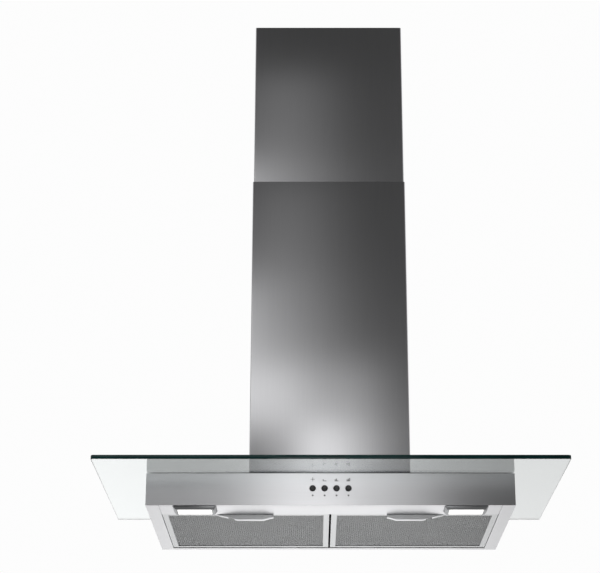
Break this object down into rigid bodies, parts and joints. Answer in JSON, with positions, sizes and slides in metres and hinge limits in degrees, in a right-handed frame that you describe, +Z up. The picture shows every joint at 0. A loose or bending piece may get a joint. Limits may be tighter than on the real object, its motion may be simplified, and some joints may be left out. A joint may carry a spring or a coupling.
{
  "type": "chimney range hood",
  "caption": "Wall-mounted chimney range hood: slim steel body under a flat glass canopy, telescoping steel chimney, push buttons, lamps and hinged grease filters.",
  "frame": {"origin": "centre of the body's flat rear face, on the wall plane", "axes": "+Y points into the wall, so the front faces -Y; +Z is up along the chimney; +X is to the right seen from the front"},
  "size_m": [0.898, 0.5, 1.1234],
  "materials": {
    "brushed_steel": "brushed stainless steel",
    "galvanised_steel": "galvanised sheet steel",
    "canopy_glass": "clear toughened float glass with a green edge",
    "seal": "black foam strip",
    "filter_aluminium": "satin rolled aluminium",
    "filter_mesh": "layered expanded mesh",
    "black_plastic": "moulded black plastic",
    "grey_plastic": "moulded grey plastic",
    "white_plastic": "moulded white plastic",
    "lamp_glass": "frosted lamp cover, lit",
    "circuit_board": "glass-fibre board with green solder mask",
    "zinc_screw": "zinc-plated steel"
  },
  "bodies": {
    "hood": {"body_shell": "brushed_steel", "front_fascia": "brushed_steel", "lamp_panel": "brushed_steel", "chimney_lower": "brushed_steel", "lamp_bezel_left": "brushed_steel", "lamp_bezel_right": "brushed_steel", "chimney_base_frame": "galvanised_steel", "chimney_bracket": "galvanised_steel", "blower_chassis": "galvanised_steel", "chassis_top": "galvanised_steel", "motor": "galvanised_steel", "motor_bracket": "galvanised_steel", "wall_hook_left": "galvanised_steel", "wall_hook_right": "galvanised_steel", "glass_canopy": "canopy_glass", "glass_seal": "seal", "outlet_collar": "black_plastic", "capacitor": "black_plastic", "cable_gland": "black_plastic", "switch_block": "grey_plastic", "scroll_left": "grey_plastic", "scroll_right": "grey_plastic", "control_box": "white_plastic", "control_box_cover": "white_plastic", "terminal_block": "white_plastic", "lamp_socket_left": "white_plastic", "lamp_socket_right": "white_plastic", "lamp_lens_left": "lamp_glass", "lamp_lens_right": "lamp_glass", "lamp_bulb_left": "lamp_glass", "lamp_bulb_right": "lamp_glass", "control_board": "circuit_board", "flap_pin": "zinc_screw", "collar_screw_1": "zinc_screw", "collar_screw_2": "zinc_screw", "collar_screw_3": "zinc_screw", "collar_screw_4": "zinc_screw"},
    "upper_cover": {"chimney_upper": "brushed_steel"},
    "lamp_button": {"button_lamp": "black_plastic"},
    "speed_1_button": {"button_speed_1": "black_plastic"},
    "speed_2_button": {"button_speed_2": "black_plastic"},
    "speed_3_button": {"button_speed_3": "black_plastic"},
    "left_filter": {"filter_frame_left": "filter_aluminium", "filter_mesh_left": "filter_mesh"},
    "left_latch": {"filter_handle_left": "filter_aluminium", "filter_latch_left": "galvanised_steel"},
    "right_filter": {"filter_frame_right": "filter_aluminium", "filter_mesh_right": "filter_mesh"},
    "right_latch": {"filter_handle_right": "filter_aluminium", "filter_latch_right": "galvanised_steel"},
    "wheel": {"blower_wheel": "galvanised_steel", "motor_shaft": "zinc_screw"},
    "left_flap": {"flap_left": "black_plastic"},
    "right_flap": {"flap_right": "black_plastic"}
  },
  "joints": [
    {"name": "upper_cover_slide", "type": "slide", "parent": "hood", "child": "upper_cover", "axis": [0, 0, 1], "range_m": [-0.3, 0.03]},
    {"name": "lamp_press", "type": "slide", "parent": "hood", "child": "lamp_button", "axis": [0, 1, 0], "range_m": [0, 0.002], "stiffness_N_per_m": 400},
    {"name": "speed_1_press", "type": "slide", "parent": "hood", "child": "speed_1_button", "axis": [0, 1, 0], "range_m": [0, 0.002], "stiffness_N_per_m": 400},
    {"name": "speed_2_press", "type": "slide", "parent": "hood", "child": "speed_2_button", "axis": [0, 1, 0], "range_m": [0, 0.002], "stiffness_N_per_m": 400},
    {"name": "speed_3_press", "type": "slide", "parent": "hood", "child": "speed_3_button", "axis": [0, 1, 0], "range_m": [0, 0.002], "stiffness_N_per_m": 400},
    {"name": "left_filter_tilt", "type": "hinge", "parent": "hood", "child": "left_filter", "pos_m": [0, -0.0163, -0.0304], "axis": [1, 0, 0], "range_deg": [0, 75]},
    {"name": "left_latch_pull", "type": "slide", "parent": "left_filter", "child": "left_latch", "axis": [0, 1, 0], "range_m": [0, 0.005], "stiffness_N_per_m": 400},
    {"name": "right_filter_tilt", "type": "hinge", "parent": "hood", "child": "right_filter", "pos_m": [0, -0.0163, -0.0304], "axis": [1, 0, 0], "range_deg": [0, 75]},
    {"name": "right_latch_pull", "type": "slide", "parent": "right_filter", "child": "right_latch", "axis": [0, 1, 0], "range_m": [0, 0.005], "stiffness_N_per_m": 400},
    {"name": "wheel_spin", "type": "hinge", "parent": "hood", "child": "wheel", "pos_m": [0, -0.123, 0.16], "axis": [1, 0, 0], "continuous": true},
    {"name": "left_flap_swing", "type": "hinge", "parent": "hood", "child": "left_flap", "pos_m": [0, -0.123, 0.3723], "axis": [0, 1, 0], "range_deg": [0, 75]},
    {"name": "right_flap_swing", "type": "hinge", "parent": "hood", "child": "right_flap", "pos_m": [0, -0.123, 0.3723], "axis": [0, -1, 0], "range_deg": [0, 75]}
  ]
}
